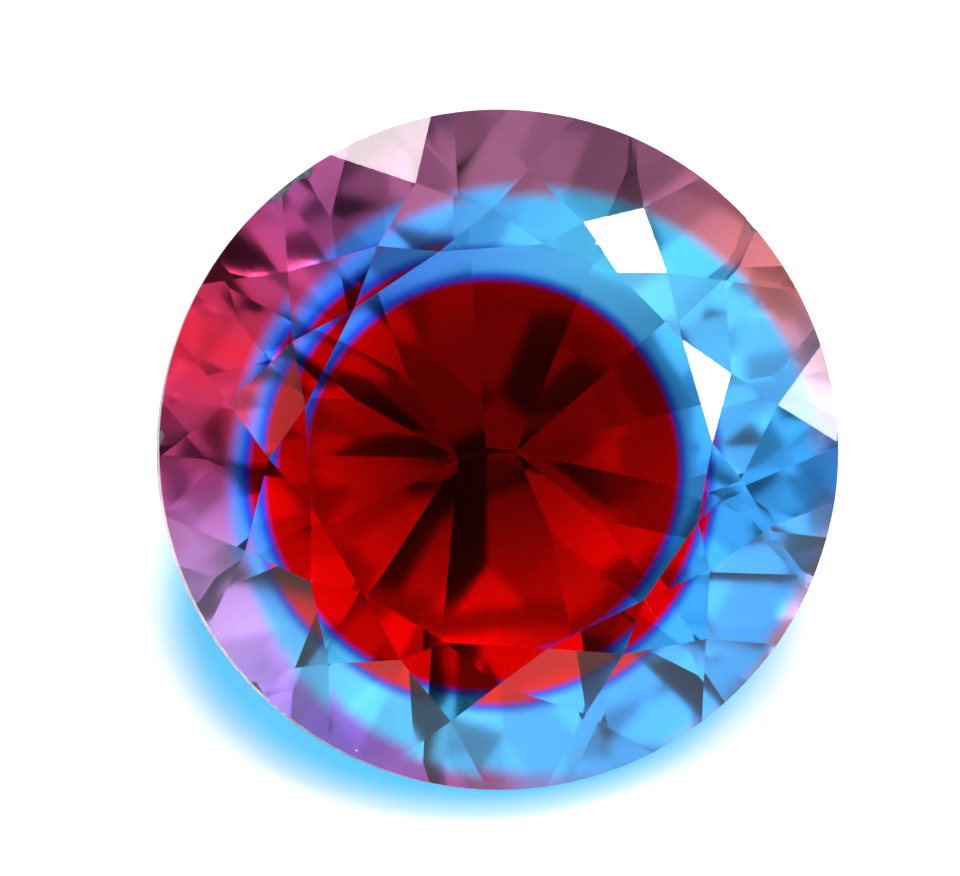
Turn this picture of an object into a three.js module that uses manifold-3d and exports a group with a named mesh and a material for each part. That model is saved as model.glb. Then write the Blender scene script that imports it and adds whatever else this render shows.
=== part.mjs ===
// A round cut sapphire, one solid stone, lying on a pavilion facet.
// The rough is turned to a round preform, and each facet is ground flat on it, as a cutter does on a lap.
// The planes pass through shared corners, so the facets meet in points.
import * as THREE from "three";
import { mergeVertices } from "three/addons/utils/BufferGeometryUtils.js";
import Module from "manifold-3d";

// Driving dimensions, in millimetres and degrees.
const GIRDLE_RADIUS = 6;
const GIRDLE_THICKNESS = 0.78;
const GIRDLE_SIDES = 144;
const CROWN_HEIGHT = 1.56;
const TABLE_RADIUS = 3.6;
const STAR_RADIUS = 4.17;
const STAR_HEIGHT = 0.855 * CROWN_HEIGHT;
const KNEE_RADIUS = 4.89;
const KITE_FOOT_ANGLE = 10;
const PAVILION_SLOPE = 38.4;
const PAVILION_MAINS = 13;
const MAIN_UNEVENNESS = 1.13;
const MAIN_WANDER = 2.99;
const BREAK_SLOPE = PAVILION_SLOPE + 1.42;
const BREAK_RADIUS = 3.98;
const BREAK_SHARES = [0.3, 0.7];
const CULET_LENGTH = 1.04;
const CULET_AZIMUTH = 7;
const REST_AZIMUTH = -83;
const LAP_SIZE = 4 * GIRDLE_RADIUS;

// The crown's index wheel: azimuths counter-clockwise as seen from above the table.
// The stone was indexed by hand, so the steps are uneven. A knee is where an upper kite meets the girdle tier.
const TABLE_CORNERS = [1, 31.6, 57.7, 79.7, 109.4, 138.4, 169.3, 197.2, 225.1, 252.5, 281.2, 312, 338.5];
const STAR_POINTS = [18.2, 47.2, 71, 93.5, 122.8, 154, 183, 214.6, 243.5, 268.1, 299.6, 329.1, 352.4];
const KNEES = [9, 37.1, 59.8, 85, 108.6, 141, 171.1, 201.8, 230.9, 258.9, 287.1, 316.7, 343.5];

// Chips on the girdle: azimuth of the middle, length along the edge, depth inwards, and height of the edge there,
// which rises and falls with the crown's facets.
// A chip is a row of flakes. They differ in size, each is turned its own way, and the row drifts up and down,
// by these shares of the chip's depth and these steps from one flake to the next.
const FLAKE_VARIATION = 0.35;
const FLAKE_STANDOFF = 0.2;
const FLAKE_DRIFT = 0.4;
const FLAKE_SIZE_STEP = 5.1;
const FLAKE_DRIFT_STEP = 3.3;
const FLAKE_ROLL_STEP = 1.7;
const FLAKE_TURN_STEP = 2.3;
const CHIPS = [
  { azimuth: 129.3, length: 1.0, depth: 0.17, height: -0.23, flakes: 9 },
  { azimuth: 42, length: 0.24, depth: 0.1, height: 0.12, flakes: 2 },
  { azimuth: 178.3, length: 0.16, depth: 0.09, height: -0.17, flakes: 2 },
  { azimuth: 224.5, length: 0.2, depth: 0.08, height: -0.12, flakes: 2 },
];

const wasm = await Module();
wasm.setup();

// A closed geometry as a solid that can be cut.
function solidFrom(geometry) {
  geometry.deleteAttribute("normal");
  geometry.deleteAttribute("uv");
  const merged = mergeVertices(geometry);
  return new wasm.Manifold(
    new wasm.Mesh({
      numProp: 3,
      vertProperties: merged.getAttribute("position").array,
      triVerts: new Uint32Array(merged.index.array),
    }),
  );
}

// A cut solid as a geometry again, flat shaded.
function geometryFrom(solid) {
  const mesh = solid.getMesh();
  const geometry = new THREE.BufferGeometry();
  geometry.setAttribute("position", new THREE.BufferAttribute(mesh.vertProperties, 3));
  geometry.setIndex(new THREE.BufferAttribute(mesh.triVerts, 1));
  const flat = geometry.toNonIndexed();
  flat.computeVertexNormals();
  return flat;
}

// A point at an azimuth and a distance from the stone's axis, at a height above the girdle's upper edge.
function corner(azimuth, radius, height = 0) {
  const angle = THREE.MathUtils.degToRad(azimuth);
  return new THREE.Vector3(radius * Math.cos(angle), radius * Math.sin(angle), height);
}

function azimuthOf(point) {
  return THREE.MathUtils.radToDeg(Math.atan2(point.y, point.x));
}

// The azimuth halfway between two points, going counter-clockwise.
function halfway(from, to) {
  const start = azimuthOf(from);
  return start + THREE.MathUtils.euclideanModulo(azimuthOf(to) - start, 360) / 2;
}

// The crown facet through three points, facing up.
function crownFacet(a, b, c) {
  const facet = new THREE.Plane().setFromCoplanarPoints(a, b, c);
  return facet.normal.z < 0 ? facet.negate() : facet;
}

// A point moved straight up or down onto a facet.
function onto(facet, point) {
  const { normal, constant } = facet;
  const height = -(constant + normal.x * point.x + normal.y * point.y) / normal.z;
  return new THREE.Vector3(point.x, point.y, height);
}

// Grinds the stone flat on one plane: everything outside the plane is taken away.
function grind(stone, facet) {
  const lap = new THREE.BoxGeometry(LAP_SIZE, LAP_SIZE, LAP_SIZE);
  lap.translate(0, 0, LAP_SIZE / 2);
  lap.applyQuaternion(new THREE.Quaternion().setFromUnitVectors(new THREE.Vector3(0, 0, 1), facet.normal));
  lap.translate(...facet.normal.clone().multiplyScalar(-facet.constant).toArray());
  return stone.subtract(solidFrom(lap));
}

// The round preform, whose flat top is the table.
function preform(depth) {
  const height = CROWN_HEIGHT + depth;
  const cylinder = new THREE.CylinderGeometry(GIRDLE_RADIUS, GIRDLE_RADIUS, height, GIRDLE_SIDES);
  cylinder.rotateX(Math.PI / 2);
  cylinder.translate(0, 0, CROWN_HEIGHT - height / 2);
  return solidFrom(cylinder);
}

// The crown's facets in four tiers below the table: stars, upper kites, lower kites and girdle facets.
function crownFacets() {
  const count = TABLE_CORNERS.length;
  const before = (i) => (i + count - 1) % count;
  const after = (i) => (i + 1) % count;

  const corners = TABLE_CORNERS.map((azimuth) => corner(azimuth, TABLE_RADIUS, CROWN_HEIGHT));
  const points = STAR_POINTS.map((azimuth) => corner(azimuth, STAR_RADIUS, STAR_HEIGHT));
  const stars = points.map((point, i) => crownFacet(corners[i], corners[after(i)], point));
  const upperKites = corners.map((top, i) => crownFacet(top, points[before(i)], points[i]));
  const knees = KNEES.map((azimuth, i) => onto(upperKites[i], corner(azimuth, KNEE_RADIUS)));
  const lowerKites = points.map((top, i) => crownFacet(top, knees[i], knees[after(i)]));

  // Each lower kite ends on a short stretch of the girdle, and a girdle facet fills the gap to the next one.
  const footAzimuths = knees.map((knee, i) => halfway(knee, knees[after(i)]));
  const foot = (i, side) =>
    onto(lowerKites[i], corner(footAzimuths[i] + (side * KITE_FOOT_ANGLE) / 2, GIRDLE_RADIUS));
  const girdleFacets = knees.map((knee, i) => crownFacet(knee, foot(before(i), 1), foot(i, -1)));
  return [...stars, ...upperKites, ...lowerKites, ...girdleFacets];
}

const culetDepth = GIRDLE_THICKNESS + GIRDLE_RADIUS * Math.tan(THREE.MathUtils.degToRad(PAVILION_SLOPE));

// The outward direction of a pavilion facet, which faces down.
function pavilionNormal(azimuth, slope) {
  const angle = THREE.MathUtils.degToRad(slope);
  return corner(azimuth, Math.sin(angle), -Math.cos(angle));
}

// The mains run from the girdle to the culet, which is a short keel instead of a point.
function pavilionMain(azimuth) {
  const normal = pavilionNormal(azimuth, PAVILION_SLOPE);
  const keelEnd = corner(CULET_AZIMUTH, CULET_LENGTH / 2);
  if (keelEnd.dot(normal) < 0) keelEnd.negate();
  return new THREE.Plane().setFromNormalAndCoplanarPoint(normal, keelEnd.setZ(-culetDepth));
}

// Two slightly steeper break facets under the girdle share the ridge between each main and the next.
function breakPair(main, from, to) {
  const ridge = onto(main, corner((from + to) / 2, BREAK_RADIUS));
  return BREAK_SHARES.map((share) => {
    const normal = pavilionNormal(from + (to - from) * share, BREAK_SLOPE);
    return new THREE.Plane().setFromNormalAndCoplanarPoint(normal, ridge);
  });
}

// The azimuth of a main: even steps from the main that the stone rests on, each a little off.
function mainAzimuth(i) {
  const error = MAIN_UNEVENNESS * Math.sin(MAIN_WANDER * (i % PAVILION_MAINS));
  return REST_AZIMUTH + (360 / PAVILION_MAINS) * i + error;
}

function pavilionFacets() {
  return Array.from({ length: PAVILION_MAINS }, (_, i) => {
    const main = pavilionMain(mainAzimuth(i));
    return [main, ...breakPair(main, mainAzimuth(i), mainAzimuth(i + 1))];
  }).flat();
}

// A chip, as the row of small flakes that were knocked off the girdle's upper edge.
function chip({ azimuth, length, depth, height, flakes }) {
  const span = THREE.MathUtils.radToDeg(length / GIRDLE_RADIUS);
  const solids = Array.from({ length: flakes }, (_, i) => {
    const along = (i + 0.5) / flakes - 0.5;
    const size = depth * (1 + FLAKE_VARIATION * Math.sin(FLAKE_SIZE_STEP * i + 1));
    const drift = depth * FLAKE_DRIFT * Math.sin(FLAKE_DRIFT_STEP * i);
    const place = corner(azimuth + span * along, GIRDLE_RADIUS + FLAKE_STANDOFF * depth, height + drift);
    const flake = new THREE.IcosahedronGeometry(size, 0);
    flake.rotateX(FLAKE_ROLL_STEP * i);
    flake.rotateZ(FLAKE_TURN_STEP * i);
    flake.translate(...place.toArray());
    return solidFrom(flake);
  });
  return solids.reduce((joined, flake) => joined.add(flake));
}

let stone = preform(culetDepth);
for (const facet of [...crownFacets(), ...pavilionFacets()]) stone = grind(stone, facet);
for (const size of CHIPS) stone = stone.subtract(chip(size));

// The stone is laid on the main at the rest azimuth, with the floor at height 0 under the middle of its box.
const geometry = geometryFrom(stone);
geometry.applyQuaternion(
  new THREE.Quaternion().setFromUnitVectors(pavilionNormal(REST_AZIMUTH, PAVILION_SLOPE), new THREE.Vector3(0, 0, -1)),
);
geometry.computeBoundingBox();
const { min, max } = geometry.boundingBox;
geometry.translate(-(min.x + max.x) / 2, -(min.y + max.y) / 2, -min.z);

const sapphire = new THREE.Mesh(
  geometry,
  new THREE.MeshStandardMaterial({ color: 0x3a55c8, roughness: 0.02, metalness: 0, flatShading: true }),
);
sapphire.name = "sapphire";

const part = new THREE.Group();
part.add(sapphire);

export default part;
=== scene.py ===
# %% [markdown]
# # A round cut sapphire, lying on white paper
# The stone is one crystal. Its shape, facet by facet, comes from the CAD model. This lesson gives it its
# looks: polished facets, a ground girdle, broken chips, polish lines, dust, and the zones of colour and
# painted light that make one clear stone look blue and red at once.

# %% Load the stone
import math

import bmesh
import bpy
from mathutils import Matrix, Vector


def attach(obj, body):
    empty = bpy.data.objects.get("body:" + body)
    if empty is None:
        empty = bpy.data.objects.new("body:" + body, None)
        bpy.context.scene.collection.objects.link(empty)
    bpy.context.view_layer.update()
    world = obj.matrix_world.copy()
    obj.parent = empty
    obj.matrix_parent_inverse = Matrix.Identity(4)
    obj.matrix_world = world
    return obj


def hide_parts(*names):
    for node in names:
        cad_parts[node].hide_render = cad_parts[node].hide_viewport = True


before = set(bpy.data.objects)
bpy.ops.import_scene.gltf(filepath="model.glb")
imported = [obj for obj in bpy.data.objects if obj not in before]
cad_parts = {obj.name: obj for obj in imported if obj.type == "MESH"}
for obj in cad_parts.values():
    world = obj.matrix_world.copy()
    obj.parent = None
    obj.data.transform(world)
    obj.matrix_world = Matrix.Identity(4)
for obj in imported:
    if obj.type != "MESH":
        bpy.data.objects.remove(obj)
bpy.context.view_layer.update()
MM = 0.001
cad_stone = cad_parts["sapphire"]

# %% [markdown]
# ## Flat facets again
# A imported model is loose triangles. Merging the corners and dissolving the edges inside each flat facet
# gives back the facets that the cutter ground, one face each. A remesh would round them, so it isn't used.

# %% Merge the triangles into facets
MERGE = 0.0002 * MM
FLAT = math.radians(0.6)

facets = bmesh.new()
facets.from_mesh(cad_stone.data)
bmesh.ops.remove_doubles(facets, verts=facets.verts, dist=MERGE)
bmesh.ops.dissolve_limit(
    facets,
    angle_limit=FLAT,
    use_dissolve_boundaries=False,
    verts=facets.verts,
    edges=facets.edges,
)
facets.normal_update()
print(len(facets.faces), "faces,", len(facets.edges), "edges")

# %% [markdown]
# ## The stone's own directions
# The table is the largest facet, so its normal is the stone's own axis. Three directions follow from it:
# the axis, one to the right across the table and one up across it. The colours are laid out in them.

# %% Find the axis and the girdle
table = max(facets.faces, key=lambda face: face.calc_area())
AXIS = table.normal.copy()
RIGHT = (Vector((1, 0, 0)) - AXIS * AXIS.x).normalized()
UP = AXIS.cross(RIGHT)
STONE_FRAME = Matrix((RIGHT, UP, AXIS)).transposed()

corners = [STONE_FRAME.transposed() @ v.co for v in facets.verts]
low = [min(c[i] for c in corners) for i in range(3)]
high = [max(c[i] for c in corners) for i in range(3)]
GIRDLE_RADIUS = (high[0] - low[0]) / 2
TABLE_HEIGHT = high[2]
MIDDLE = STONE_FRAME @ Vector(((low[0] + high[0]) / 2, (low[1] + high[1]) / 2, TABLE_HEIGHT))
print("axis", [round(a, 3) for a in AXIS])
print("girdle radius", round(GIRDLE_RADIUS / MM, 3), "mm")
print("middle of the table", [round(m / MM, 2) for m in MIDDLE], "mm")

# %% [markdown]
# ## Which face has which finish
# The girdle is the ring of narrow upright faces around the axis. A chip's faces are small and have stone
# standing in front of them, which no facet of a cut stone has. The rest is polished: the crown above the
# girdle, the pavilion below it.

# %% Sort the faces
UPRIGHT = 0.05
IN_FRONT = 0.004 * MM
CHIP_AREA = 0.3 * MM**2
CROWN, PAVILION, GROUND, BROKEN = range(4)
points = [v.co.copy() for v in facets.verts]


def is_broken(face):
    reach = face.normal.dot(face.verts[0].co) + IN_FRONT
    return face.calc_area() < CHIP_AREA and any(face.normal.dot(p) > reach for p in points)


counts = [0, 0, 0, 0]
for face in facets.faces:
    rise = face.normal.dot(AXIS)
    if is_broken(face):
        face.material_index = BROKEN
    elif abs(rise) < UPRIGHT:
        face.material_index = GROUND
    else:
        face.material_index = CROWN if rise > 0 else PAVILION
    face.smooth = False
    counts[face.material_index] += 1
print("crown, pavilion, ground and broken faces:", counts)

# %% [markdown]
# ## The stone
# The facets become one object. It stays at the origin, unturned, with its place in its mesh, so the patterns
# of its materials stay where they are. It has no modifiers: a bevel would round the edges, which are sharp
# here. It rides on the one body and stands in for the CAD model's sapphire.

# %% Make the stone
stone_mesh = bpy.data.meshes.new("stone")
facets.to_mesh(stone_mesh)
facets.free()
stone = bpy.data.objects.new("stone", stone_mesh)
bpy.context.scene.collection.objects.link(stone)
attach(stone, "root")
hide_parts("sapphire")
print("stone has", len(stone_mesh.vertices), "corners and", len(stone_mesh.polygons), "faces")

# %% [markdown]
# ## Helpers for patterns
# Every pattern on the stone is a node group: a small network with named inputs and outputs, built once and
# placed in each material with its own values. These helpers make a group, add a node, mix two colours and
# ease a value from 0 to 1 between two limits.

# %% Node helpers
NUMBER = "NodeSocketFloat"
COLOUR = "NodeSocketColor"


def new_group(name, inputs, outputs):
    group = bpy.data.node_groups.new(name, "ShaderNodeTree")
    for socket, kind, value in inputs:
        made = group.interface.new_socket(socket, in_out="INPUT", socket_type=kind)
        made.default_value = value
    for socket, kind in outputs:
        group.interface.new_socket(socket, in_out="OUTPUT", socket_type=kind)
    return group, group.nodes.new("NodeGroupInput"), group.nodes.new("NodeGroupOutput")


def add(tree, kind, values=None, **settings):
    node = tree.nodes.new("ShaderNode" + kind)
    for key, value in settings.items():
        setattr(node, key, value)
    for key, value in (values or {}).items():
        node.inputs[key].default_value = value
    return node


def mix_colours(tree, factor, first, second, **settings):
    mix = add(tree, "Mix", data_type="RGBA", **settings)
    for socket, source in (("Factor", factor), ("A", first), ("B", second)):
        if isinstance(source, bpy.types.NodeSocket):
            tree.links.new(source, mix.inputs[socket])
        elif isinstance(source, tuple):
            mix.inputs[socket].default_value = (*source, 1)
        else:
            mix.inputs[socket].default_value = source
    return mix.outputs["Result"]


def ease(tree, value, start, end):
    ramp = add(tree, "MapRange", {"From Min": start, "From Max": end}, interpolation_type="SMOOTHSTEP")
    tree.links.new(value, ramp.inputs["Value"])
    return ramp.outputs["Result"]


print("helpers ready")

# %% [markdown]
# ## Colour and painted light zones: where a facet looks
# The zones are laid out as if they lay deep in the stone, as a red heart, a blue ring around it and
# many-coloured fans outside. The blues are the stone's own colour. The red heart and the red, pink and
# violet fans are painted light: a painted reflection of warm lamp light that the pavilion sends back.
# Each crown facet bends the view, so it shows the zones shifted away from the way it leans. That is why
# the red heart is seen once through the table, and again as a red arc through each tier of facets. The
# shift is the facet's normal times a depth. A real ray takes up a little of every zone on its way, which
# blurs their borders, so here the colour tints the light once, where it enters the stone.

# %% The shifted place
ZONE_CENTRE = Vector((-0.276, -0.36, 0)) * MM
ACROSS_ONLY = (1, 1, 0)

zones, into, out = new_group(
    "Colour and painted light zones",
    [("Depth", NUMBER, 0.0), ("Fans", NUMBER, 1.0)],
    [("Color", COLOUR)],
)
link = zones.links.new
place = add(zones, "TexCoord")
facing = add(zones, "NewGeometry")
lean = add(zones, "VectorMath", operation="SCALE")
link(facing.outputs["Normal"], lean.inputs[0])
link(into.outputs["Depth"], lean.inputs["Scale"])
seen = add(zones, "VectorMath", operation="SUBTRACT")
link(place.outputs["Object"], seen.inputs[0])
link(lean.outputs[0], seen.inputs[1])
stone_place = add(zones, "Mapping", vector_type="TEXTURE")
stone_place.inputs["Location"].default_value = MIDDLE + STONE_FRAME @ ZONE_CENTRE
stone_place.inputs["Rotation"].default_value = STONE_FRAME.to_euler()
stone_place.inputs["Scale"].default_value = [GIRDLE_RADIUS] * 3
link(seen.outputs[0], stone_place.inputs["Vector"])
across = add(zones, "VectorMath", operation="MULTIPLY")
across.inputs[1].default_value = ACROSS_ONLY
link(stone_place.outputs[0], across.inputs[0])
radius = add(zones, "VectorMath", operation="LENGTH")
link(across.outputs[0], radius.inputs[0])
distance = radius.outputs["Value"]
print("zones are centred", round(ZONE_CENTRE.length / MM, 2), "mm off the middle of the table")

# %% [markdown]
# ## Colour and painted light zones: the turn around the axis
# The ring and the fans change colour around the axis. The angle of a place, as a part of one turn, runs
# along a colour ramp. A soft noise moves the place a little first, so that the borders between sectors
# wander.

# %% The part of a turn
CLOUD_SCALE = 5.0
CLOUD_DRIFT = 0.06

cloud = add(zones, "TexNoise", {"Scale": CLOUD_SCALE, "Detail": 1.0})
link(across.outputs[0], cloud.inputs["Vector"])
drift = add(zones, "VectorMath", operation="MULTIPLY_ADD")
drift.inputs[1].default_value = (CLOUD_DRIFT, CLOUD_DRIFT, 0)
link(cloud.outputs["Color"], drift.inputs[0])
link(across.outputs[0], drift.inputs[2])
parts = add(zones, "SeparateXYZ")
link(drift.outputs[0], parts.inputs[0])
angle = add(zones, "Math", operation="ARCTAN2")
link(parts.outputs["Y"], angle.inputs[0])
link(parts.outputs["X"], angle.inputs[1])
turns = add(zones, "Math", operation="MULTIPLY_ADD")
turns.inputs[1].default_value = 1 / (2 * math.pi)
turns.inputs[2].default_value = 1
link(angle.outputs[0], turns.inputs[0])
turn_part = add(zones, "Math", operation="FRACT")
link(turns.outputs[0], turn_part.inputs[0])
print("noise moves a place by at most", round(CLOUD_DRIFT * GIRDLE_RADIUS / MM, 2), "mm in each direction")

# %% [markdown]
# ## Colour and painted light zones: sectors
# How the colours of this stone really lie isn't known. Corundum grows in six-sided crystals, so the ring
# has six even sectors here and the fans have twelve, counter-clockwise from the right. The colours are
# plain ones. A colour ramp blends each sector into the next, and the last into the first.

# %% Sector colours
# The blues are the stone's own colour. Salmon, rose, plum, scarlet, lilac and violet are painted light, a
# painted reflection of warm lamp light.
DEEP = (0.05, 0.2, 0.9)
AZURE = (0.05, 0.4, 1)
CYAN = (0.1, 0.6, 1)
SALMON = (0.7, 0.2, 0.2)
ROSE = (0.3, 0.1, 0.2)
PLUM = (0.3, 0.05, 0.2)
SCARLET = (0.7, 0.02, 0.05)
LILAC = (0.5, 0.3, 0.8)
VIOLET = (0.2, 0.1, 0.6)
RING = [AZURE, CYAN, DEEP, DEEP, CYAN, AZURE]
FANS = [AZURE, SALMON, ROSE, ROSE, PLUM, SCARLET, PLUM, LILAC, VIOLET, PLUM, AZURE, SALMON]


def colour_wheel(sectors):
    wheel = add(zones, "ValToRGB")
    link(turn_part.outputs[0], wheel.inputs[0])
    stops = wheel.color_ramp.elements
    stops[0].color = stops[1].color = (*sectors[0], 1)
    for i, colour in enumerate(sectors[1:], 1):
        stops.new(i / len(sectors)).color = (*colour, 1)
    return wheel.outputs["Color"]


fan_colour = colour_wheel(FANS)
ring_colour = colour_wheel(RING)
print(len(RING), "ring sectors and", len(FANS), "fan sectors")

# %% [markdown]
# ## Colour and painted light zones: borders
# A narrow edge of deeper blue follows the heart. The ring ends at a circle that isn't centred on the heart,
# so it is narrow at the left and wide at the right. Only the crown shows the fans; the pavilion's finish
# turns them off.

# %% Ring and fans
EDGE = (0, 0.03, 0.6)
HEART_RADIUS = 0.547
EDGE_WIDTH = 0.04
RING_RADIUS = 0.72
RING_CENTRE = Vector((0.12, -0.03, 0))
RING_BLUR = 0.03


def distance_from(point):
    gap = add(zones, "VectorMath", operation="DISTANCE")
    gap.inputs[1].default_value = point
    link(across.outputs[0], gap.inputs[0])
    return gap.outputs["Value"]


past_edge = ease(zones, distance, HEART_RADIUS, HEART_RADIUS + EDGE_WIDTH)
edged = mix_colours(zones, past_edge, EDGE, ring_colour)
past_ring = ease(zones, distance_from(RING_CENTRE), RING_RADIUS - RING_BLUR, RING_RADIUS + RING_BLUR)
fanned = add(zones, "Math", operation="MULTIPLY")
link(past_ring, fanned.inputs[0])
link(into.outputs["Fans"], fanned.inputs[1])
outer = mix_colours(zones, fanned.outputs[0], edged, fan_colour)
print("heart reaches", round(HEART_RADIUS * GIRDLE_RADIUS / MM, 2), "mm from its middle")

# %% [markdown]
# ## Colour and painted light zones: the heart
# The heart's red is painted light, a painted reflection of warm lamp light, and painted shade makes it
# darkest a little above its middle. Light passes a glass surface tinted by the root of its base colour, so
# the group multiplies its colour by itself, and the tint is then the colour named here.

# %% The heart, and the group's colour
# Painted shade and painted light: the heart is deep red a little above its middle and red further out.
DEEP_RED = (0.16, 0, 0)
RED = (0.6, 0, 0)
PAINTED_SHADE_CENTRE = Vector((0, 0.15, 0))
PAINTED_SHADE_FROM, PAINTED_SHADE_TO = 0.2, 0.72
HEART_BLUR = 0.013

painted_shade_fade = ease(zones, distance_from(PAINTED_SHADE_CENTRE), PAINTED_SHADE_FROM, PAINTED_SHADE_TO)
heart = mix_colours(zones, painted_shade_fade, DEEP_RED, RED)
past_heart = ease(zones, distance, HEART_RADIUS - HEART_BLUR, HEART_RADIUS + HEART_BLUR)
colour = mix_colours(zones, past_heart, heart, outer)
twice = mix_colours(zones, 1.0, colour, colour, blend_type="MULTIPLY")
link(twice, out.inputs["Color"])
print(zones.name, "has", len(zones.nodes), "nodes")

# %% [markdown]
# ## Polish lines
# A facet is polished on a turning lap, which leaves fine parallel lines. They run across each facet, so the
# pattern is laid out along the facet's own two directions, which follow from its normal.

# %% Two directions on each facet
LINES_PER_MM = 8
LINE_LENGTH = 80
LAP_DIRECTION = (AXIS + RIGHT * 0.2 + UP * 0.1).normalized()
ACROSS_SCALE = LINES_PER_MM / MM
LENGTH_SCALE = LINES_PER_MM / LINE_LENGTH / MM

lines, into, out = new_group(
    "Polish lines",
    [("Amount", NUMBER, 1.0)],
    [("Height", NUMBER), ("Patch", NUMBER)],
)
link = lines.links.new
place = add(lines, "TexCoord")
facing = add(lines, "NewGeometry")
side = add(lines, "VectorMath", operation="CROSS_PRODUCT")
side.inputs[1].default_value = LAP_DIRECTION
link(facing.outputs["Normal"], side.inputs[0])
along = add(lines, "VectorMath", operation="NORMALIZE")
link(side.outputs[0], along.inputs[0])
outward = add(lines, "VectorMath", operation="CROSS_PRODUCT")
link(facing.outputs["Normal"], outward.inputs[0])
link(along.outputs[0], outward.inputs[1])
laid = add(lines, "CombineXYZ")
for axis_name, direction, scale in (("X", along, ACROSS_SCALE), ("Y", outward, LENGTH_SCALE)):
    amount = add(lines, "VectorMath", operation="DOT_PRODUCT")
    link(place.outputs["Object"], amount.inputs[0])
    link(direction.outputs[0], amount.inputs[1])
    scaled = add(lines, "Math", operation="MULTIPLY")
    scaled.inputs[1].default_value = scale
    link(amount.outputs["Value"], scaled.inputs[0])
    link(scaled.outputs[0], laid.inputs[axis_name])
print("lines are", LINE_LENGTH, "times as long as wide")

# %% [markdown]
# ## Polish lines: grooves in patches
# A noise that is stretched along the lines makes the grooves, and a second noise shows them only in
# patches, where the last polish was short. The group also puts out the patches, so that a finish can be
# duller there.

# %% Lines and patches
GROOVE_DETAIL = 1.5
GROOVE_ROUGHNESS = 0.6
PATCH_SIZE = 1.4 * MM
PATCH_FROM, PATCH_TO = 0.5, 0.68

grooves = add(lines, "TexNoise", {"Scale": 1.0, "Detail": GROOVE_DETAIL, "Roughness": GROOVE_ROUGHNESS})
link(laid.outputs[0], grooves.inputs["Vector"])
patch = add(lines, "TexNoise", {"Scale": 1 / PATCH_SIZE, "Detail": 1.0})
link(place.outputs["Object"], patch.inputs["Vector"])
shown = ease(lines, patch.outputs["Fac"], PATCH_FROM, PATCH_TO)
strength = add(lines, "Math", operation="MULTIPLY")
link(shown, strength.inputs[0])
link(into.outputs["Amount"], strength.inputs[1])
height = add(lines, "Math", operation="MULTIPLY")
link(grooves.outputs["Fac"], height.inputs[0])
link(strength.outputs[0], height.inputs[1])
link(height.outputs[0], out.inputs["Height"])
link(strength.outputs[0], out.inputs["Patch"])
print(lines.name, "has", len(lines.nodes), "nodes")

# %% [markdown]
# ## Dust
# A few specks of dust lie on the stone, a few hundredths of a millimetre across. Each cell of a cellular
# pattern has room for one speck, and most cells are left empty. Modelled grains would take thousands of
# faces.

# %% The dust group
CELL = 0.9 * MM
SPECK_RADIUS = 0.026 * MM
SHARE_WITH_SPECK = 0.16

dust, into, out = new_group("Dust", [("Size", NUMBER, 1.0)], [("Speck", NUMBER)])
link = dust.links.new
place = add(dust, "TexCoord")
cells = add(dust, "TexVoronoi", {"Scale": 1 / CELL, "Randomness": 1.0}, feature="F1")
link(place.outputs["Object"], cells.inputs["Vector"])
kept = add(dust, "SeparateColor")
link(cells.outputs["Color"], kept.inputs[0])
chosen = add(dust, "Math", operation="LESS_THAN")
chosen.inputs[1].default_value = SHARE_WITH_SPECK
link(kept.outputs[0], chosen.inputs[0])
reach = add(dust, "Math", operation="MULTIPLY")
reach.inputs[1].default_value = SPECK_RADIUS / CELL
link(into.outputs["Size"], reach.inputs[0])
near = add(dust, "Math", operation="LESS_THAN")
link(cells.outputs["Distance"], near.inputs[0])
link(reach.outputs[0], near.inputs[1])
speck = add(dust, "Math", operation="MULTIPLY")
link(near.outputs[0], speck.inputs[0])
link(chosen.outputs[0], speck.inputs[1])
link(speck.outputs[0], out.inputs["Speck"])
print(dust.name, "leaves", 1 - SHARE_WITH_SPECK, "of the cells empty")

# %% [markdown]
# ## Grain
# The girdle is only ground, and a break is uneven. Both scatter light from fine grain, which is a noise in
# height, coarse in the break and fine on the ground ring. A broader noise makes some places duller than
# others.

# %% The grain group
GRAIN_PER_METRE = 20 / MM
GRAIN_DETAIL = 4.0
GRAIN_ROUGHNESS = 0.65
BROAD_PER_METRE = 2.5 / MM

grain, into, out = new_group(
    "Grain",
    [("Per metre", NUMBER, GRAIN_PER_METRE)],
    [("Height", NUMBER), ("Patch", NUMBER)],
)
link = grain.links.new
place = add(grain, "TexCoord")
fine = add(grain, "TexNoise", {"Detail": GRAIN_DETAIL, "Roughness": GRAIN_ROUGHNESS})
link(place.outputs["Object"], fine.inputs["Vector"])
link(into.outputs["Per metre"], fine.inputs["Scale"])
broad = add(grain, "TexNoise", {"Scale": BROAD_PER_METRE, "Detail": 2.0})
link(place.outputs["Object"], broad.inputs["Vector"])
link(fine.outputs["Fac"], out.inputs["Height"])
link(broad.outputs["Fac"], out.inputs["Patch"])
print(grain.name, "has", len(grain.nodes), "nodes")

# %% [markdown]
# ## One crystal
# All four finishes are one clear crystal: full transmission and the refraction of corundum. Only the tint
# and the surface differ, so they share this start.

# %% The crystal
CORUNDUM_IOR = 1.768
WHITE = (1, 1, 1)
BLACK = (0, 0, 0)


def crystal(name, tint=WHITE):
    material = bpy.data.materials.new(name)
    material.use_nodes = True
    shader = material.node_tree.nodes["Principled BSDF"]
    shader.inputs["Base Color"].default_value = (*tint, 1)
    shader.inputs["IOR"].default_value = CORUNDUM_IOR
    shader.inputs["Transmission Weight"].default_value = 1
    return material, material.node_tree, shader


print("refraction", CORUNDUM_IOR)

# %% [markdown]
# ## Polished facets: the tint
# The shader tints a ray only where it comes in from outside, so that a ray is coloured once, by the zone it
# looks at. Dust covers the tint. Its specks also glow a little, a painted highlight as if lit from all
# sides.

# %% Tint the entering light
SPECK_COLOUR = (0.95, 0.8, 0.8)
# The specks' glow is a painted highlight.
DUST_PAINTED_HIGHLIGHT = 0.5


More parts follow.
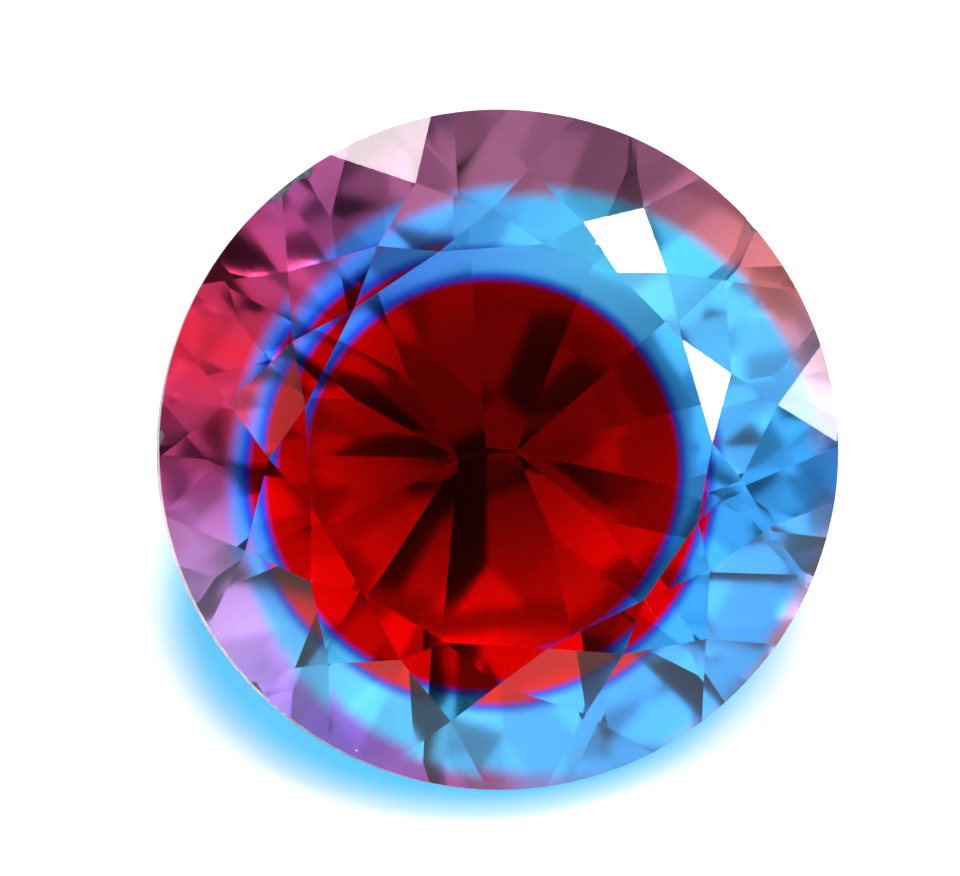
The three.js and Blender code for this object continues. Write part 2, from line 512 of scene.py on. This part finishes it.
def tint_entering_light(tree, shader, speck, depth, fan_amount):
    zone = add(tree, "Group", {"Depth": depth, "Fans": fan_amount}, node_tree=zones)
    side = add(tree, "NewGeometry")
    dusted = mix_colours(tree, speck, zone.outputs["Color"], SPECK_COLOUR)
    entering = mix_colours(tree, side.outputs["Backfacing"], dusted, WHITE)
    tree.links.new(entering, shader.inputs["Base Color"])
    dust_painted_highlight = mix_colours(tree, speck, BLACK, SPECK_COLOUR)
    tree.links.new(dust_painted_highlight, shader.inputs["Emission Color"])
    shader.inputs["Emission Strength"].default_value = DUST_PAINTED_HIGHLIGHT


print("dust glows with", DUST_PAINTED_HIGHLIGHT)

# %% [markdown]
# ## Polished facets: the surface
# Polish lines are a bump, and the facet is a little duller in their patches. Dust is fully dull.

# %% Wear the surface
LINE_HEIGHT = 0.0003 * MM


def wear_surface(tree, shader, speck, smooth, worn, line_amount):
    link = tree.links.new
    polish = add(tree, "Group", {"Amount": line_amount}, node_tree=lines)
    wear = add(tree, "MapRange", {"To Min": smooth, "To Max": worn})
    link(polish.outputs["Patch"], wear.inputs["Value"])
    rough = add(tree, "Math", operation="MAXIMUM")
    link(wear.outputs["Result"], rough.inputs[0])
    link(speck, rough.inputs[1])
    link(rough.outputs[0], shader.inputs["Roughness"])
    bump = add(tree, "Bump", {"Strength": 1.0, "Distance": LINE_HEIGHT})
    link(polish.outputs["Height"], bump.inputs["Height"])
    link(bump.outputs["Normal"], shader.inputs["Normal"])


print("line height", round(LINE_HEIGHT / MM, 5), "mm")

# %% [markdown]
# ## Crown and pavilion
# The crown's gloss is weaker than that of real corundum, because the facets would mirror more of the paper
# than the photograph shows. The pavilion is a little rough, which stands for the soft focus deep in the
# stone.

# %% Two polished finishes
CROWN_DEPTH = 0.25 * GIRDLE_RADIUS
CROWN_GLOSS = 0.4


def polished(name, depth, fan_amount, smooth, worn, line_amount, gloss=1.0):
    material, tree, shader = crystal(name)
    shader.inputs["Specular Tint"].default_value = (gloss, gloss, gloss, 1)
    speck = add(tree, "Group", node_tree=dust).outputs["Speck"]
    tint_entering_light(tree, shader, speck, depth, fan_amount)
    wear_surface(tree, shader, speck, smooth, worn, line_amount)
    return material


crown = polished(
    "polished crown",
    depth=CROWN_DEPTH,
    fan_amount=1.0,
    smooth=0.0,
    worn=0.015,
    line_amount=1.0,
    gloss=CROWN_GLOSS,
)
pavilion = polished("polished pavilion", depth=0.0, fan_amount=0.0, smooth=0.08, worn=0.11, line_amount=0.0)
print("polished finishes:", crown.name, "and", pavilion.name)

# %% [markdown]
# ## Ground girdle and broken chips
# The girdle was ground and never polished, so it is frosted and pale. A chip is a fresh break, partly
# glassy, with coarse steps, and its finish is tinted almost black. Both are the grain group at different
# sizes.

# %% Two rough finishes
GIRDLE_TINT = (0.85, 0.6, 0.7)
CHIP_TINT = (0.035, 0.035, 0.045)


def rough_cut(name, tint, smooth, coarse, per_mm, depth_mm):
    material, tree, shader = crystal(name, tint)
    link = tree.links.new
    grains = add(tree, "Group", {"Per metre": per_mm / MM}, node_tree=grain)
    wear = add(tree, "MapRange", {"To Min": smooth, "To Max": coarse})
    link(grains.outputs["Patch"], wear.inputs["Value"])
    link(wear.outputs["Result"], shader.inputs["Roughness"])
    bump = add(tree, "Bump", {"Strength": 1.0, "Distance": depth_mm * MM})
    link(grains.outputs["Height"], bump.inputs["Height"])
    link(bump.outputs["Normal"], shader.inputs["Normal"])
    return material


ground = rough_cut("ground girdle", GIRDLE_TINT, smooth=0.35, coarse=0.55, per_mm=30, depth_mm=0.006)
broken = rough_cut("broken chip", CHIP_TINT, smooth=0.05, coarse=0.35, per_mm=9, depth_mm=0.12)
for material in (crown, pavilion, ground, broken):
    stone.data.materials.append(material)
print("the stone's finishes:", [material.name for material in stone.data.materials])

# %% [markdown]
# ## The paper's shape
# A round sheet of white paper, a hair under the stone, so that a film of air stays between them: polished
# crystal never touches paper closely enough to lose its mirror. It is wide, so that its edge stays out of
# the picture.

# %% Paper
AIR_FILM = 0.03 * MM
FLOOR_RADIUS = 1.5
FLOOR_SIDES = 128

floor_mesh = bmesh.new()
bmesh.ops.create_circle(
    floor_mesh,
    cap_ends=True,
    segments=FLOOR_SIDES,
    radius=FLOOR_RADIUS,
    matrix=Matrix.Translation((0, 0, -AIR_FILM)),
)
paper_mesh = bpy.data.meshes.new("floor")
floor_mesh.to_mesh(paper_mesh)
floor_mesh.free()
floor = bpy.data.objects.new("floor", paper_mesh)
bpy.context.scene.collection.objects.link(floor)
print("paper lies", round(AIR_FILM / MM, 3), "mm under the stone")

# %% [markdown]
# ## The paper's look
# Matt and almost white, with a faint noise of fibres. It also shines by itself, which stands for a lamp
# that washes the background out to white. The blue glow at the stone's foot is light that fell through the
# stone, in the stone's shadow. Few light paths find their way there, so glow and shadow are drawn into the
# paper together, as a soft oval under the stone: a painted shadow and painted light.

# %% Paper finish
# Painted shadow and painted light: the oval under the stone is darker and blue.
PAINTED_SHADOW_AND_GLOW = (0.15, 0.62, 0.95)
GLOW_MIDDLE = Vector((-0.38, 0.3, 0)) * MM
GLOW_RADII = (5.8 * MM, 5.45 * MM)
GLOW_FULL, GLOW_END = 0.86, 1.08
FIBRES_PER_METRE = 2.5 / MM
DULL_PULP = (0.89, 0.89, 0.89)
BRIGHT_PULP = (0.93, 0.93, 0.93)
PAPER_ROUGHNESS = 0.7
PAPER_SHINE = 0.66

paper = bpy.data.materials.new("white paper")
paper.use_nodes = True
tree = paper.node_tree
link = tree.links.new
shader = tree.nodes["Principled BSDF"]
place = add(tree, "TexCoord")
glow_place = add(tree, "Mapping", vector_type="TEXTURE")
glow_place.inputs["Location"].default_value = GLOW_MIDDLE
glow_place.inputs["Scale"].default_value = (*GLOW_RADII, 1)
link(place.outputs["Object"], glow_place.inputs["Vector"])
from_glow = add(tree, "VectorMath", operation="LENGTH")
link(glow_place.outputs[0], from_glow.inputs[0])
fibres = add(tree, "TexNoise", {"Scale": FIBRES_PER_METRE, "Detail": 3.0})
link(place.outputs["Object"], fibres.inputs["Vector"])
pulp = mix_colours(tree, fibres.outputs["Fac"], DULL_PULP, BRIGHT_PULP)
past_glow = ease(tree, from_glow.outputs["Value"], GLOW_FULL, GLOW_END)
sheet = mix_colours(tree, past_glow, PAINTED_SHADOW_AND_GLOW, pulp)
link(sheet, shader.inputs["Base Color"])
link(sheet, shader.inputs["Emission Color"])
shader.inputs["Roughness"].default_value = PAPER_ROUGHNESS
shader.inputs["Specular IOR Level"].default_value = 0
shader.inputs["Emission Strength"].default_value = PAPER_SHINE
floor.data.materials.append(paper)
print(paper.name, "shines with", PAPER_SHINE)

# %% [markdown]
# ## Soft lights
# A cut stone shows its lamps: each facet mirrors one direction and bends light in from another. So a lamp
# is placed by its direction, and sized by the cone that it fills as seen from the stone. Round area lamps
# do this, and the camera doesn't see them. Each lamp below is given its name, its direction, its cone in
# degrees, its colour and its strength.

# %% Lamp helpers
LIGHT_DISTANCE = 0.6
AIM = Vector((0, 0, 4 * MM))


def off_axis(tilt, turn):
    """A direction by its tilt off the stone's axis and its turn, counter-clockwise from the right."""
    off, around = math.radians(tilt), math.radians(turn)
    sideways = RIGHT * math.cos(around) + UP * math.sin(around)
    return (AXIS * math.cos(off) + sideways * math.sin(off)).normalized()


def over_floor(azimuth, elevation):
    """A direction by its height over the floor and its azimuth, counter-clockwise from the front."""
    turn, rise = math.radians(azimuth), math.radians(elevation)
    return Vector((math.sin(turn) * math.cos(rise), -math.cos(turn) * math.cos(rise), math.sin(rise)))


def soft_light(name, direction, spread, colour, radiance):
    """A round soft light that fills a cone of that many degrees."""
    size = 2 * LIGHT_DISTANCE * math.tan(math.radians(spread / 2))
    lamp = bpy.data.lights.new(name, "AREA")
    lamp.shape = "DISK"
    lamp.size = size
    lamp.color = colour
    lamp.energy = radiance * math.pi * math.pi * (size / 2) ** 2
    holder = bpy.data.objects.new(name, lamp)
    bpy.context.scene.collection.objects.link(holder)
    facing_stone = direction.to_track_quat("Z", "Y").to_matrix().to_4x4()
    holder.matrix_world = Matrix.Translation(AIM + direction * LIGHT_DISTANCE) @ facing_stone
    holder.visible_camera = False
    return holder


print("lamps stand", LIGHT_DISTANCE, "m from the stone")

# %% [markdown]
# ## Light through the table
# A ring of equal lamps around the stone's axis, with one near its middle, lights the heart through the
# table. No facet mirrors these lamps toward the camera, so the colours stay deep.

# %% Ring light
RING_LAMPS = 9
RING_TILT = 19
RING_CONE = 19
RING_RADIANCE = 0.9

for i in range(RING_LAMPS):
    direction = off_axis(RING_TILT, i * 360 / RING_LAMPS)
    soft_light(f"ring_{i}", direction, RING_CONE, WHITE, RING_RADIANCE)
soft_light("centre", off_axis(5, 202), 9, WHITE, 0.8)
print(RING_LAMPS, "ring lamps")

# %% [markdown]
# ## Light for the crown
# Small and wide lamps further off the axis light the ring and the fans through the crown facets. A strong
# one stands overhead, in a gap between the directions that the facets mirror.

# %% Small and wide lamps
soft_light("right", off_axis(44, 8), 12, WHITE, 2.4)
soft_light("upper_right", off_axis(50, 40), 14, WHITE, 1.8)
soft_light("right_low", off_axis(72, 15), 16, WHITE, 2.0)
soft_light("left", off_axis(43, 162), 10, WHITE, 2.4)
soft_light("wide_right", off_axis(58, 20), 40, WHITE, 0.9)
soft_light("wide_left", off_axis(56, 168), 38, WHITE, 0.8)
soft_light("wide_top", off_axis(52, 100), 30, WHITE, 0.5)
soft_light("high", off_axis(35, 95), 12, WHITE, 1.2)
soft_light("low_front", off_axis(33, 255), 10, WHITE, 0.8)
soft_light("overhead", over_floor(200, 82), 16, WHITE, 11)
print(len(bpy.data.lights), "lamps so far")

# %% [markdown]
# ## Glints
# Four facets of the photographed stone flash white or pink. Each mirrors a lamp, so four small strong lamps
# stand where these facets look: the direction to the camera, mirrored in the facet. The last lamp stands
# behind the stone, in another gap between the mirrored directions, and lights the crown from there.

# %% Glint lamps and the back lamp
WARM_WHITE = (1, 0.92, 0.93)
PINKISH = (1, 0.7, 0.7)
GLINT = 34

soft_light("kite_glint", over_floor(109.5, 56.1), 5, WHITE, GLINT)
soft_light("star_glint", over_floor(67.3, 41.4), 5, WHITE, GLINT)
soft_light("top_glint", over_floor(213.5, 43.3), 6, WARM_WHITE, 18)
soft_light("side_glint", over_floor(97.5, 12.8), 5, PINKISH, 15)
soft_light("back", over_floor(156, 61), 14, WHITE, 12)
print(len(bpy.data.lights), "lamps in all")

# %% [markdown]
# ## The studio
# The room around is nearly dark, so that the dark patches between bright facets stay dark.

# %% World
STUDIO_STRENGTH = 0.02

world = bpy.data.worlds.new("studio")
world.use_nodes = True
background = world.node_tree.nodes["Background"]
background.inputs["Color"].default_value = (*WHITE, 1)
background.inputs["Strength"].default_value = STUDIO_STRENGTH
bpy.context.scene.world = world
print("studio strength", STUDIO_STRENGTH)

# %% [markdown]
# ## Camera
# The photograph looks down at the stone, almost straight at its table. The camera stands 25 girdle radii
# away with a long lens, which keeps perspective small. The lens and the aim follow from the girdle's size
# and place in the picture, in pixels.

# %% Place the camera
CAMERA_AZIMUTH = -1.15
CAMERA_ELEVATION = 49.7
CAMERA_ROLL = math.radians(-0.6)
CAMERA_DISTANCE = 25 * GIRDLE_RADIUS
SENSOR = 36
FAR_CLIP = 10
PHOTO_WIDTH, PHOTO_HEIGHT = 960, 876
STONE_RADIUS_PX = 340
STONE_CENTRE_PX = (499.5, 449.5)
CROWN_HEIGHT_MM = 1.56

toward_camera = over_floor(CAMERA_AZIMUTH, CAMERA_ELEVATION)
camera_turn = toward_camera.to_track_quat("Z", "Y").to_matrix() @ Matrix.Rotation(CAMERA_ROLL, 3, "Z")
metres_per_px = GIRDLE_RADIUS / STONE_RADIUS_PX
left_px = PHOTO_WIDTH / 2 - STONE_CENTRE_PX[0]
up_px = STONE_CENTRE_PX[1] - PHOTO_HEIGHT / 2
girdle_top = MIDDLE - AXIS * CROWN_HEIGHT_MM * MM
target = girdle_top + camera_turn @ (Vector((left_px, up_px, 0)) * metres_per_px)
lens = bpy.data.cameras.new("camera")
lens.sensor_width = SENSOR
lens.lens = SENSOR * CAMERA_DISTANCE / (metres_per_px * PHOTO_WIDTH)
lens.clip_start = CAMERA_DISTANCE / 10
lens.clip_end = FAR_CLIP
camera = bpy.data.objects.new("camera", lens)
bpy.context.scene.collection.objects.link(camera)
camera.matrix_world = Matrix.Translation(target + toward_camera * CAMERA_DISTANCE) @ camera_turn.to_4x4()
bpy.context.scene.camera = camera
print("lens", round(lens.lens), "mm, camera", round(CAMERA_DISTANCE / MM), "mm away")

# %% [markdown]
# ## Light paths
# Light turns back inside a cut stone several times before it leaves, and a path that is cut short shows as
# black. So many bounces are allowed. The plain view keeps white paper white.

# %% Bounces and view
BOUNCES = 24

scene = bpy.context.scene
scene.view_settings.view_transform = "Standard"
scene.cycles.max_bounces = BOUNCES
scene.cycles.glossy_bounces = BOUNCES
scene.cycles.transmission_bounces = BOUNCES
scene.cycles.use_denoising = True
print("bounces", BOUNCES)
